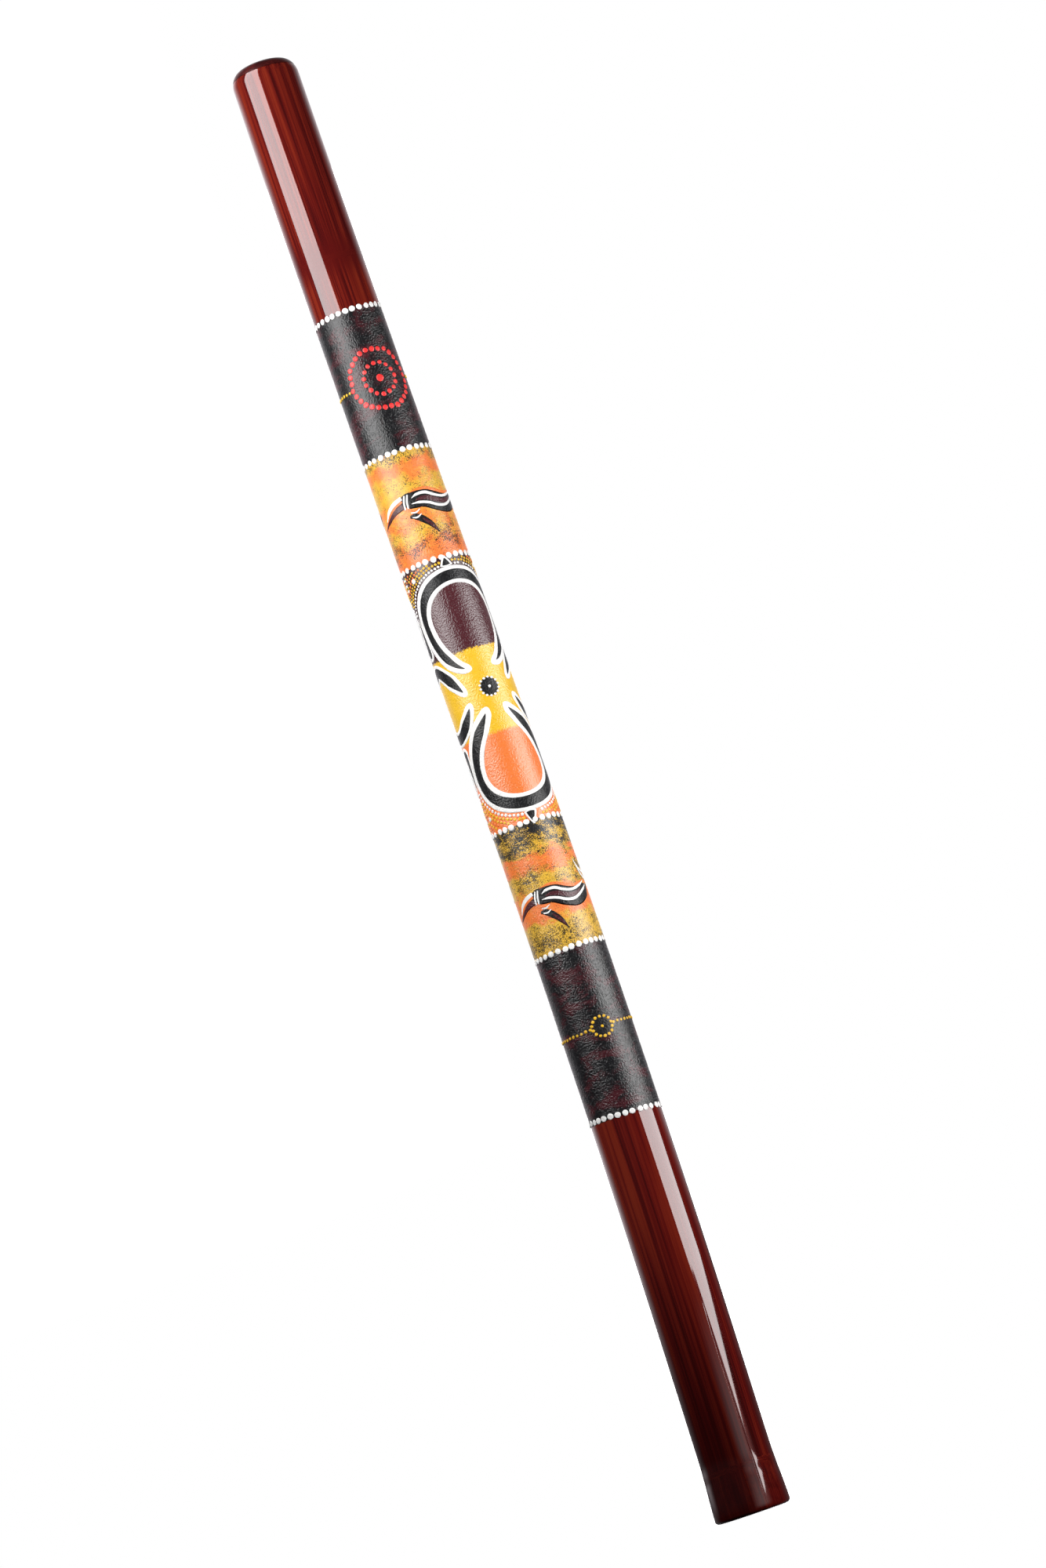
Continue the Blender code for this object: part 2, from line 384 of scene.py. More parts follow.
def mouth_ring_finish(colours):
    """End grain of the turned ring, which takes the stain darker than the sides."""
    look = Finish("stained_end_grain", {
        "Roughness": 0.50, "Specular IOR Level": 0.1, "Coat Weight": 0.6, "Coat Roughness": 0.20})
    pores = look.noise(look.place, 1400.0, 2.0, 0.6)
    clouds = look.noise(look.place, 120.0, 3.0, 0.55)
    share = look.step(pores * 0.5 + clouds * 0.5, 0.40, 0.66)
    tint = look.blend(share, colours.lacquer_dark, END_GRAIN_TINT)
    return look.finished(tint, pores, 0.15, 0.08 * MM)


def raw_bamboo_finish(colours):
    """Bare inside of the culm: pale fibres in soft clouds."""
    look = Finish("raw_bamboo", {"Roughness": 0.72})
    place = look.straightened()
    fibres = look.fibres(place, 1300, 12)
    clouds = look.fibres(place, 60, 18, 0.0, 2.0, 0.5)
    share = look.step(fibres * 0.6 + clouds * 0.4, 0.35, 0.68)
    tint = look.blend(share, dimmed(colours.raw_bamboo, 0.45), colours.raw_bamboo)
    return look.finished(tint, fibres, 0.35, 0.15 * MM)


def dark_band_finish(colours):
    """Black coat with soft maroon blotches that run round it in loose bands."""
    look = Finish("dark_band_paint", {"Roughness": 0.20, "Specular IOR Level": 0.50})
    place = look.vector(look.along("X"), look.along("Y"), look.along("Z") * 1.7)
    clouds = look.noise(place, 48.0, 4.0, 0.62, 0.4)
    flecks = look.noise(look.place, 700.0, 2.0, 0.6)
    share = look.step(clouds * 0.82 + flecks * 0.18, 0.465, 0.625) * 0.9
    return look.leathery(look.blend(share, colours.black, dimmed(colours.maroon, 0.92)), 0.80, 860.0)


def ochre_finish(colours, name, low, high, zones, seed):
    """Yellow and orange sponged in soft zones up a band, with fine black stipple that clusters.

    zones lists (share of the band's height, share of orange, density of the stipple)."""
    look = Finish(name, {"Roughness": 0.30})
    height = look.along("Z")
    place = look.vector(look.along("X"), look.along("Y"), height * 1.5 + seed)
    drift = look.noise(place, 62.0, 3.0, 0.6, 0.5)
    share = (height - low) / (high - low) + (drift - 0.5) * 0.30
    orange, stipple = (
        look.node("ShaderNodeValToRGB", {"stops": [(zone[0], [zone[k]] * 3) for zone in zones]}, {0: share})
        for k in (1, 2))
    patches = look.noise(place, 95.0, 3.0, 0.65)
    orange_share = look.step(orange + (patches - 0.5) * 1.3, 0.20, 0.80)
    dull = (0.92 * colours.yellow[0], 0.92 * colours.yellow[1], colours.yellow[2] + 0.022)
    tint = look.blend(orange_share, dull, colours.orange)
    pale = look.noise(look.place, 150.0, 3.0, 0.6)
    tint = look.blend(look.step(pale, 0.48, 0.80) * 0.35, tint, PALE_OCHRE)
    grains = look.noise(look.place, 1350.0, 2.0, 0.75)
    clusters = look.noise(place, 230.0, 5.0, 0.72) + look.noise(place, 75.0) * 0.8
    density = stipple * (0.52 + look.step(clusters, 0.76, 1.06) * 0.60)
    ink = look.step(grains + density * 0.24, 0.680, 0.708)
    return look.leathery(look.blend(ink, tint, dimmed(colours.black, 1.3)), 0.55)


def middle_finish(colours):
    """Ground of the middle band: maroon above, yellow between, orange below, earth in the corners."""
    look = Finish("middle_ground_paint", {"Roughness": 0.27, "Specular IOR Level": 0.75})
    x, y, height = look.straightened()
    turn = look.node("ShaderNodeMath", {"operation": "ARCTAN2"}, {0: x, 1: y * -1.0})
    aside = ((turn - radians(FRONT_DEGREES)) * 2.0).cosine()
    ragged = look.noise(look.place, 560.0, 4.0, 0.8)
    soft = look.noise(look.place, 900.0, 2.0, 0.6)
    worn = look.step(look.noise(look.place, 70.0, 3.0, 0.6), 0.45, 0.75) * 0.5
    yellow = look.blend(worn, colours.yellow, dimmed(colours.yellow, 0.86))
    dim = look.blend(look.step(aside, -0.62, -0.50), colours.earth, colours.maroon)
    dim = look.blend(look.step(height, *OVER_ARCH), dim, colours.earth)
    tint = look.blend(look.step(height + ragged * 0.009, *MAROON_EDGE), yellow, dim)
    corner = look.step(soft, 0.60, 0.72) * look.step(height, *UNDER_ARCH)
    hot = look.blend(corner, colours.orange, colours.earth)
    below = look.step(height * -1.0 + soft * 0.006, *ORANGE_EDGE)
    return look.leathery(look.blend(below, tint, hot), 0.7)


def stroke_finish(name, colour, drifting, shade, gloss):
    """Brushed or dotted paint of one colour, with slight drifts of a second."""
    look = Finish(name, {"Roughness": 0.28, "Specular IOR Level": gloss})
    drift = look.step(look.noise(look.place, 260.0, 3.0, 0.6), 0.45, 0.75)
    return look.leathery(look.blend(drift * drifting, colour, shade), 0.8)


# Mesh making

def ring_turns():
    """Angles round the culm, with finer steps across the check."""
    even = np.linspace(0.0, 2 * pi, COLUMNS, endpoint=False)
    fine = np.radians(np.arange(SEAM_DEGREES - SEAM_REACH, SEAM_DEGREES + SEAM_REACH, SEAM_STEP))
    apart = np.abs(even[:, None] - fine[None]).min(1) > radians(SEAM_STEP / 2)
    return np.sort(np.concatenate([even[apart], fine]))


def grid_faces(rows, columns, first=0, loop_rows=True):
    """Quads of a grid whose columns close round, and whose rows do too where loop_rows is set."""
    faces = []
    for row in range(rows if loop_rows else rows - 1):
        here = first + row * columns
        there = first + (row + 1) % rows * columns
        for column in range(columns):
            after = (column + 1) % columns
            faces.append((here + column, here + after, there + after, there + column))
    return faces


def placed(name, data, matrix=Matrix()):
    """A new object in the scene."""
    made = bpy.data.objects.new(name, data)
    made.matrix_world = matrix
    bpy.context.scene.collection.objects.link(made)
    return made


def add_piece(name, points, faces, material, sharp=None):
    """A closed mesh, shaded smooth, that rides on the culm's body."""
    mesh = bpy.data.meshes.new(name)
    mesh.from_pydata(np.asarray(points, float).reshape(-1, 3).tolist(), [], faces)
    shape = bmesh.new()
    shape.from_mesh(mesh)
    bmesh.ops.recalc_face_normals(shape, faces=shape.faces)
    shape.to_mesh(mesh)
    shape.free()
    mesh.shade_smooth()
    if sharp is not None:
        mesh.set_sharp_from_angle(angle=radians(sharp))
    mesh.materials.append(material)
    piece = placed(name, mesh)
    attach(piece, "root")
    return piece


def turned(name, outline, material, sharp=32.0):
    """Tube turned about the bowed centreline from a closed outline of (radius, height) points."""
    turns = ring_turns()
    radius, height = np.array(outline, float).T
    points = on_tube(turns[None], height[:, None], (radius - plain_radius(height))[:, None])
    return add_piece(name, points, grid_faces(len(outline), len(turns)), material, sharp)


def levels(low, high, step):
    """Even heights from low to high, both included."""
    return np.linspace(low, high, max(2, ceil((high - low) / step) + 1))


def corner(radius, height, size, start, steps=8):
    """Rounded corner: a quarter circle of (radius, height) points from the start angle in degrees."""
    turns = [radians(start) + radians(90) * k / steps for k in range(steps + 1)]
    return [(radius + size * cos(turn), height + size * sin(turn)) for turn in turns]


def bullnose(low, high, steps):
    """The mouth's rounding between two heights, as (radius, height) points from below."""
    first, last = (asin(max(0.0, 1 - (LENGTH - height) / ROUND_HEIGHT)) for height in (low, high))
    depth = RING_WIDTH - LIP_EDGE_RADIUS
    turns = [first + (last - first) * k / steps for k in range(steps + 1)]
    middle = HOLE_RADIUS + LIP_EDGE_RADIUS
    return [(middle + depth * cos(turn), LENGTH - ROUND_HEIGHT * (1 - sin(turn))) for turn in turns]


def skin(heights, lift=0.0):
    """Outline points on the culm's outside, raised by lift."""
    return [(float(plain_radius(height)) + lift, height) for height in heights]


def bore_points():
    """The bore from the top down, with the broken rim of a septum at each bamboo node."""
    heights = [CULM_TOP]
    for node in reversed(BAMBOO_NODES):
        heights += list(levels(node + RIM_THICKNESS, heights[-1], 0.012)[::-1][1:])
        heights += list(levels(node - RIM_THICKNESS, node + RIM_THICKNESS, 0.001)[::-1][1:])
    heights += list(levels(BELL_BORE_EDGE, heights[-1], 0.006)[::-1][1:])
    points = []
    for height in heights:
        nearest = min(abs(height - node) for node in BAMBOO_NODES)
        rim = RIM_PROUD * exp(-(nearest / (RIM_THICKNESS * 0.36)) ** 4)
        points.append((float(plain_radius(height)) - WALL - rim, height))
    return points


class Relief:
    """Raised paint that makes one piece, from points of distance round the culm, height and lift."""

    def __init__(self):
        self.points = []
        self.faces = []
        self.count = 0

    def add(self, points, faces):
        points = points.reshape(-1, 3)
        self.points.append(on_tube(points[:, 0] / PAINT_RADIUS, points[:, 1], points[:, 2]))
        self.faces += [tuple(corner + self.count for corner in face) for face in faces]
        self.count += len(points)

    def dot(self, across, height, diameter, rise, chance, base=0.05 * MM, sides=14):
        """A rounded, slightly uneven drop of paint."""
        turns = np.arange(sides) * 2 * pi / sides
        sway, lean = chance.uniform(0, 2 * pi), chance.uniform(0, 2 * pi)
        outline = 1 + 0.035 * np.cos(2 * turns + sway) + 0.020 * np.cos(3 * turns + lean)
        reach = diameter / 2 * outline
        points = [(across, height, base)]
        for share, up in DROP_PROFILE:
            ring = np.stack([across + reach * share * np.cos(turns), height + reach * share * np.sin(turns),
                             np.full(sides, base + rise * up)], 1)
            points += list(ring)
        points.append((across, height, base + rise))
        faces = [(0, 1 + k, 1 + (k + 1) % sides) for k in range(sides)]
        faces += grid_faces(len(DROP_PROFILE), sides, 1, loop_rows=False)
        top = len(points) - 1
        faces += [(top, top - sides + (k + 1) % sides, top - sides + k) for k in range(sides)]
        self.add(np.array(points), faces)

    def stroke(self, path, half_width, base, top):
        """A crowned band along a path."""
        half_width = np.broadcast_to(np.maximum(half_width, TIP_WIDTH), len(path))[:, None]
        across = np.linspace(-1.0, 1.0, ACROSS)
        crown = np.sqrt(1 - across ** 6) * np.clip(half_width / EVEN_STEP, 0.0, 1.0)
        lift = base + (top - base) * crown
        flat = path[:, None] + sideways(path)[:, None] * (half_width * across)[..., None]
        upper = np.concatenate([flat, lift[..., None]], 2)
        lower = np.concatenate([flat, np.full_like(lift, base)[..., None]], 2)[:, -2:0:-1]
        loop = np.concatenate([upper, lower], 1)
        rows, columns = loop.shape[:2]
        faces = grid_faces(rows, columns, 0, loop_rows=False)
        faces += [tuple(range(columns)), tuple(range((rows - 1) * columns, rows * columns))[::-1]]
        self.add(loop, faces)

    def piece(self, name, colour):
        material, slot = paint_of(colour)
        return add_piece(name, np.concatenate(self.points), self.faces, material)


def sideways(path):
    """Unit vectors to the left of the path's direction."""
    along = np.gradient(path, axis=0)
    along = along / np.maximum(np.hypot(along[:, 0], along[:, 1]), 1e-9)[:, None]
    return np.stack([-along[:, 1], along[:, 0]], 1)


def travelled(path):
    """How far along the path each of its points is."""
    return np.concatenate([[0.0], np.cumsum(np.hypot(*np.diff(path, axis=0).T))])


def from_tip(places):
    """Distance of places along a path from its nearer end."""
    return np.minimum(places, places[-1] - places)


def spaced(path, step):
    """The same path with its points evenly spaced, and how far along it each one is."""
    path = np.asarray(path, float)
    uneven = travelled(path)
    places = np.linspace(0.0, uneven[-1], max(3, ceil(uneven[-1] / step) + 1))
    even = np.stack([np.interp(places, uneven, path[:, axis]) for axis in (0, 1)], 1)
    return even, places


def curve_through(points, values, step=0.5 * MM):
    """Smooth path through points of (degrees round, height), and values eased along it."""
    knots = np.array(points, float)
    knots[:, 0] = np.radians(knots[:, 0]) * PAINT_RADIUS
    padded = np.concatenate([2 * knots[:1] - knots[1:2], knots, 2 * knots[-1:] - knots[-2:-1]])
    dense = []
    marks = []
    for k in range(len(knots) - 1):
        before, first, last, after = padded[k:k + 4]
        share = np.linspace(0.0, 1.0, 24, endpoint=k == len(knots) - 2)[:, None]
        dense.append(0.5 * (2 * first + (last - before) * share
                            + (2 * before - 5 * first + 4 * last - after) * share ** 2
                            + (3 * first - before - 3 * last + after) * share ** 3))
        marks.append(k + share[:, 0])
    dense = np.concatenate(dense)
    even, places = spaced(dense, step)
    mark = np.interp(places, travelled(dense), np.concatenate(marks))
    return even, np.interp(mark, range(len(values)), values)


# Painted forms, in distance round the culm and height

def arch_path(axis, centre, half_width, rise, tip, drop, bend, up):
    """Horseshoe from tip to tip: half an ellipse whose sides run on and close in. up is -1 upside down."""
    turn = np.linspace(0.0, pi / 2, 60)
    side = tip + (half_width - tip) * np.maximum(np.cos(turn), 0.0) ** bend
    left = np.stack([-side, -drop * np.sin(turn)], 1)[::-1]
    over = np.linspace(0.0, pi, 120)[1:-1]
    crown = np.stack([-half_width * np.cos(over), rise * np.sin(over)], 1)
    right = left[::-1] * (-1, 1)
    path = np.concatenate([left, crown, right]) * (1, up)
    return path + (axis, centre)


def extended(path, length):
    """The path with both ends carried straight on."""
    first = path[0] - path[3]
    last = path[-1] - path[-4]
    first = first / np.hypot(*first) * length
    last = last / np.hypot(*last) * length
    return np.concatenate([[path[0] + first], path, [path[-1] + last]])


def tapered(path, taper):
    """The path in even steps, and how full a stroke is that narrows to a point at both ends."""
    even, places = spaced(path, EVEN_STEP)
    return even, np.clip(from_tip(places) / taper, 0.0, 1.0) ** 0.75


# Heights of the paint's layers above the lacquer
GROUND_LIFT = COAT_PROUD
WHITE_BASE = 0.04 * MM
BLACK_BASE = 0.16 * MM
LAYERS = ("black", "maroon", "orange", "white")      # of a brushed leaf, from the bottom up

FRONT = radians(FRONT_DEGREES) * PAINT_RADIUS
QUARTER = pi / 2 * PAINT_RADIUS

UPPER_ARCH = {"centre": 0.7282, "half_width": 34.2 * MM, "rise": 31.0 * MM, "tip": 13.0 * MM,
              "drop": 43.0 * MM, "bend": 1.5, "up": 1}
LOWER_ARCH = {"centre": 0.6010, "half_width": 33.4 * MM, "rise": 29.5 * MM, "tip": 9.5 * MM,
              "drop": 46.0 * MM, "bend": 2.4, "up": -1}
ARCH_WAIST = 0.36
SIDE_LEAVES = ((0.6915, 23.5 * MM, 1.5, 22.6 * MM), (0.6360, -19.0 * MM, 2.0, 23.1 * MM))
SIDE_DROPS = ((0.7035, 0.7350), (0.6265, 0.5950))
TRIANGLES = ((17.0, 0.7672, 0.7730), (13.0, 0.5640, 0.5556))
CENTRE_HEIGHT = 0.6663
DOT_ROWS = ("white", "yellow", "yellow", "orange", "yellow", "orange", "yellow", "orange", "yellow")
BOTH_SIDES = (("front", 0.0), ("back", pi))

# Rows of corner dots, in dot diameters: the first row, from row to row and from dot to dot
FIRST_ROW = 0.58
ROW_PITCH = 1.27
DOT_PITCH = 1.36
MISSING_DOTS = 0.04

# Zones of the ochre bands from the bottom up: height and orange as shares, and density of the stipple
UPPER_ZONES = ((0.04, 0.9, 0.35), (0.13, 0.7, 0.90), (0.26, 0.35, 0.65), (0.40, 0.6, 0.35),
               (0.55, 0.55, 0.35), (0.70, 0.20, 0.60), (0.86, 0.8, 0.30), (0.96, 0.25, 0.95))
LOWER_ZONES = ((0.04, 0.05, 0.95), (0.19, 0.05, 0.72), (0.30, 0.9, 0.25), (0.44, 0.7, 0.30),
               (0.56, 0.0, 1.05), (0.70, 0.95, 0.25), (0.82, 0.05, 1.12), (0.97, 0.0, 1.60))

# Dot rings: angle of a dot, number of dots, and how much the ring tilts
RING_DOTS = ((-60.0, 30, 0.8), (-65.5, 28, 0.4), (-51.5, 28, 0.1), (-75.0, 28, 0.0), (-65.0, 31, 0.9),
             (-59.0, 30, -1.1))

# Raised paints: how far each drifts to its second shade, that shade, its gloss and its slot
PAINTS = {
    "white": (0.5, (0.70, 0.69, 0.68), 0.5, "white_paint"),
    "black": (0.6, (0.013, 0.013, 0.015), 0.32, "dark_paint"),
    "maroon": (0.8, (0.050, 0.008, 0.012), 0.5, "dark_paint"),
    "yellow": (0.6, (0.62, 0.30, 0.015), 0.5, "yellow_paint"),
    "orange": (0.6, (0.74, 0.22, 0.035), 0.5, "ochre_paint"),
    "red": (0.6, (0.76, 0.050, 0.040), 0.5, "ground_paint"),
}


def sizes():
    return bpy.context.scene.didgeridoo_sizes


def colours():
    return bpy.context.scene.didgeridoo_colours


def paint_of(colour):
    """The finish of one colour of raised paint, made once, and its slot."""
    drifting, shade, gloss, slot = PAINTS[colour]
    name = "raised_%s_paint" % colour
    material = bpy.data.materials.get(name)
    if material is None:
        material = stroke_finish(name, getattr(colours(), colour), drifting, shade, gloss)
    return material, slot


def finish_reliefs(paints, prefix):
    """One piece for each colour that was used."""
    for colour, relief in paints.items():
        relief.piece("%s_%s" % (prefix, colour), colour)


def lifted(strokes):
    """Top of paint that is so many strokes thick."""
    return GROUND_LIFT + strokes * sizes().stroke_height


def brushed(paints, colour, points, widths):
    """A stroke through points of (degrees round, height) whose width eases along it."""
    path, width = curve_through(points, widths)
    base = BLACK_BASE + LAYERS.index(colour) * 0.03 * MM
    paints[colour].stroke(path, width / 2, base, base + sizes().stroke_height)


def border_at(share, waist):
    """Width of a border at a share of its length: waist is how much wider it gets between tips and middle."""
    return sizes().border * (0.76 + waist * (1 - np.cos(4 * pi * share)) / 2)


def bordered(paints, path, half, waist, run_on, narrowing=1.0):
    """A black stroke on a white one, which runs on past both tips and ends rounded."""
    under, places = spaced(extended(path, run_on), EVEN_STEP)
    share = places / places[-1]
    swell = np.interp(share, np.linspace(0.0, 1.0, len(half)), half)
    closing = np.clip(from_tip(places) / (1.15 * run_on), 0.0, 1.0)
    reach = (border_at(share, waist) * narrowing + swell) * np.sqrt(1 - (1 - closing) ** 2)
    paints["white"].stroke(under, reach, WHITE_BASE, lifted(1.0))
    paints["black"].stroke(path, half, BLACK_BASE, lifted(1.9))


def arch(paints, axis, form, widths):
    """A bordered horseshoe. widths are those of its sides and its crown."""
    path, share = tapered(arch_path(axis, **form), 17 * MM)
    over = np.clip(form["up"] * (path[:, 1] - form["centre"]) / form["rise"], 0.0, 1.0)
    bordered(paints, path, share * (widths[0] + (widths[1] - widths[0]) * over) / 2, ARCH_WAIST, 5.2 * MM)


def side_leaf(paints, axis, top, drop, bend, reach):
    """A curved leaf across the side, tips down where drop is positive."""
    across = np.linspace(-reach, reach, 121)
    line = np.stack([axis + across, top - drop * np.abs(across / reach) ** bend], 1)
    path, share = tapered(line, 15 * MM)
    bordered(paints, path, share * 4.3 * MM, 0.0, 4.2 * MM, 0.82)


def wedge(paints, across, ends, layers, run_on, step, profile):
    """A black shape on a larger white one. layers gives each one's margin, base and top."""
    away = 1 if ends[1] > ends[0] else -1
    for colour, (margin, base, top) in zip(("white", "black"), layers):
        low = ends[0] - away * run_on[0] * margin
        high = ends[1] + away * run_on[1] * margin
        path, places = spaced([(across, low), (across, high)], step)
        paints[colour].stroke(path, profile(places / places[-1], margin), base, top)


def side_drop(paints, axis, broad_end, point):
    """A drop in the gap between two horseshoes, with a white outline."""
    def profile(share, margin):
        return (3.9 * MM + margin) * np.clip(share * 9, 0, 1) ** 0.5 * np.clip(1.02 - share, 0, 1) ** 0.8

    layers = ((2.6 * MM, WHITE_BASE, lifted(1.0)), (0.0, BLACK_BASE, lifted(1.9)))
    wedge(paints, axis, (broad_end, point), layers, (1.0, 0.8), 0.5 * MM, profile)


def triangle(paints, turn, base_height, tip_height):
    """A black wedge that points away from the horseshoe, on white."""
    def profile(share, margin):
        return (3.4 * MM + margin) * np.clip(share * 12, 0, 1) ** 0.5 * (1 - 0.86 * share ** 1.3)

    black_base = BLACK_BASE + sizes().stroke_height
    layers = ((2.2 * MM, WHITE_BASE, lifted(1.2)), (0.0, black_base, lifted(2.2)))
    across = radians(turn) * PAINT_RADIUS
    wedge(paints, across, (base_height, tip_height), layers, (0.4, 1.0), 0.3 * MM, profile)


def ring_of_dots(relief, place, radius, count, diameter, chance, base=0.05 * MM, start=0.0):
    """Dots round a circle on the surface."""
    across, height = place
    for k in range(count):
        turn = 2 * pi * k / count + start
        uneven = 1 + chance.uniform(-0.03, 0.03)
        relief.dot(across + radius * uneven * cos(turn), height + radius * uneven * sin(turn),
                   diameter * chance.uniform(0.92, 1.08), 0.42 * MM, chance, base)


def roundel(colour, place, lengths, base, start, chance, prefix):
    """Dots round a black pool, with one in its middle. lengths, in mm: pool, ring, dot, middle dot."""
    pool, ring, dot, middle = (length * MM for length in lengths)
    across, height = place
    paints = defaultdict(Relief)
    path, places = spaced([(across, height - pool), (across, height + pool)], 0.3 * MM)
    half = np.sqrt(np.maximum(pool ** 2 - (pool - from_tip(places)) ** 2, 0.0))
    paints["black"].stroke(path, half, WHITE_BASE, GROUND_LIFT + 0.10 * MM)
    ring_of_dots(paints[colour], place, ring, 14, dot, chance, base, start)
    ring_of_dots(paints[colour], place, 0.0, 1, middle, chance, 0.15 * MM)
    finish_reliefs(paints, prefix)


def corner_dots(paints, axis, form, half_band, edge_height, chance, scale):
    """Rows of dots that follow a horseshoe's border and fill the corners up to the next dot ring."""
    size = sizes().small_dot * scale
    path, places = spaced(arch_path(axis, **form), 0.5 * MM)
    outward = sideways(path) * form["up"]
    border = half_band + border_at(places / places[-1], ARCH_WAIST)[:, None]
    for row, colour in enumerate(DOT_ROWS):
        line, _ = spaced(path + outward * (border + (FIRST_ROW + ROW_PITCH * row) * size), DOT_PITCH * size)
        lowest = -22 * MM if row == 0 else 4 * MM
        for across, height in line:
            aside = abs(across - axis)
            above = form["up"] * (height - form["centre"])
            to_edge = form["up"] * (edge_height - height)
            outside = to_edge < 3.0 * MM or aside > QUARTER - 0.3 * MM or aside < (5.8 - row) * MM
            over_drop = above < 9 * MM and aside > QUARTER - 7 * MM
            if outside or over_drop or above < lowest or chance.random() < MISSING_DOTS:
                continue
            across += chance.uniform(-0.2, 0.2) * MM
            height += chance.uniform(-0.2, 0.2) * MM
            diameter = size * chance.uniform(0.86, 1.08)
            paints[colour].dot(across, height, diameter, sizes().small_dot_height, chance, sides=10)


# A flowing striped leaf, in the order of brushing. Each stroke has a colour, then points in degrees and
# millimetres, then widths in millimetres.
WAVE_STROKES = (
    ("maroon", ((-74, -9.5), (-56, -5), (-38, -0.5), (-18, 2.0)), (0.2, 3.0, 4.4, 5.0)),
    ("orange", ((-72, -8.5), (-54, -2), (-36, 3.2), (-18, 6.0)), (0.2, 2.2, 2.6, 2.2)),
    ("white", ((-63, -5.0), (-50, 1.8), (-35, 6.0), (-17, 8.6)), (0.4, 3.0, 3.6, 3.2)),
    ("black", ((-22, 3.2), (-14, 4.3), (-8, 4.6), (0, 4.2), (20, 3.5), (40, -0.8), (56, -3.2), (70, -2.4),
               (88, 1.0), (106, 5.0)), (0.2, 10.5, 12.6, 13.2, 15, 16, 16, 15, 12, 0.2)),
    ("orange", ((-2, 10.6), (14, 11.6), (30, 10.7), (46, 7.6), (61, 5.7), (77, 6.6), (96, 9.6)),
     (0.2, 2.2, 2.5, 2.5, 2.4, 2.0, 0.2)),
    ("maroon", ((2, 3.2), (15, 3.9), (28, 2.7), (40, 0.2), (52, -1.4), (65, -0.7), (82, 2.6)),
     (0.2, 3.6, 4.4, 4.6, 4.6, 4.0, 0.2)),
    ("white", ((-1, 5.9), (9, 7.8), (24, 7.7), (38, 4.6), (50, 2.9), (62, 2.9), (78, 4.9), (94, 8.2)),
     (0.3, 2.3, 2.5, 2.4, 2.2, 2.3, 2.2, 0.3)),
    ("white", ((-4, 1.6), (10, 1.1), (25, -0.9), (38, -3.8), (50, -4.9), (63, -3.9), (85, 1.1), (99, 5.2)),
     (0.3, 2.2, 2.3, 2.4, 2.4, 2.3, 2.2, 0.3)),
    ("white", ((-16.5, -1.2), (-15, 4.2), (-11, 9.6)), (1.3, 1.6, 1.2)),
    ("white", ((-11.1, -1.2), (-9.6, 4.2), (-5.6, 9.6)), (1.3, 1.6, 1.2)),
    ("black", ((-13, -8.0), (-4, -8.8), (7, -12.5), (18, -18.5), (28, -27)), (2.0, 5.0, 5.6, 4.2, 0.2)),
    ("maroon", ((4, -10.5), (12, -14.8), (20, -20), (27, -26)), (0.2, 2.8, 2.6, 0.2)),
    ("white", ((-9, -5), (-1, -5.8), (7, -4)), (0.8, 1.5, 0.6)),
    ("white", ((-9, -9), (-1, -9.8), (7, -8)), (0.8, 1.5, 0.6)),
    ("orange", ((-10, -3.6), (0, -4.4), (12, -2.8)), (0.2, 1.2, 0.2)),
)


def wave_motif(paints, start, base, scale):
    """The striped leaf from an angle and a height on. scale is for angles, and for heights and widths."""
    for colour, points, widths in WAVE_STROKES:
        places = [(start + turn * scale[0], base + rise * scale[1] * MM) for turn, rise in points]
        brushed(paints, colour, places, [width * scale[1] * MM for width in widths])


# Stage: light of full and no strength, and the camera in metres, millimetres and degrees
FULL_LIGHT = (1.0, 1.0, 1.0)
NO_LIGHT = (0.0, 0.0, 0.0)
LOW_GLOW = 0.10               # brightness of the low panel as a share of the right light's
CAMERA_TARGET = (0.01313, 0.0, 0.58885)
CAMERA_DISTANCE = 4.0
CAMERA_TILT = 7.5
CAMERA_ROLL = -18.83
FOCAL_LENGTH = 118.0


# Operators

class DIDGERIDOO_OT_culm(bpy.types.Operator):
    """Turn the lacquered culm, with its check, node scars and raw bore"""
    bl_idname = "didgeridoo.culm"
    bl_label = "Culm"

    def execute(self, context):
        outline = corner(BELL_RADIUS - BELL_EDGE_RADIUS, BELL_EDGE_RADIUS, BELL_EDGE_RADIUS, -90)
        outline += skin(levels(BELL_EDGE_RADIUS, PAINT_BOTTOM, 0.0025)[1:])
        outline += skin(levels(PAINT_BOTTOM, PAINT_TOP, 0.006), -RELIEF)
        outline += skin(levels(PAINT_TOP, LENGTH - ROUND_HEIGHT, 0.0025)[:-1])
        outline += bullnose(LENGTH - ROUND_HEIGHT, CULM_TOP, 8)
        outline += bore_points()
        outline += skin([0.0], BELL_BORE_EDGE - WALL)
        piece = turned("fine_culm", outline, lacquer_finish(colours()))
        piece.data.materials.append(raw_bamboo_finish(colours()))
        for face in piece.data.polygons:
            middle = face.center
            reach = ((middle.x - float(bow(middle.z))) ** 2 + middle.y ** 2) ** 0.5
            if reach < float(plain_radius(middle.z)) - 0.8 * WALL:
                face.material_index = 1
        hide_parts("bamboo_culm")
        return {"FINISHED"}


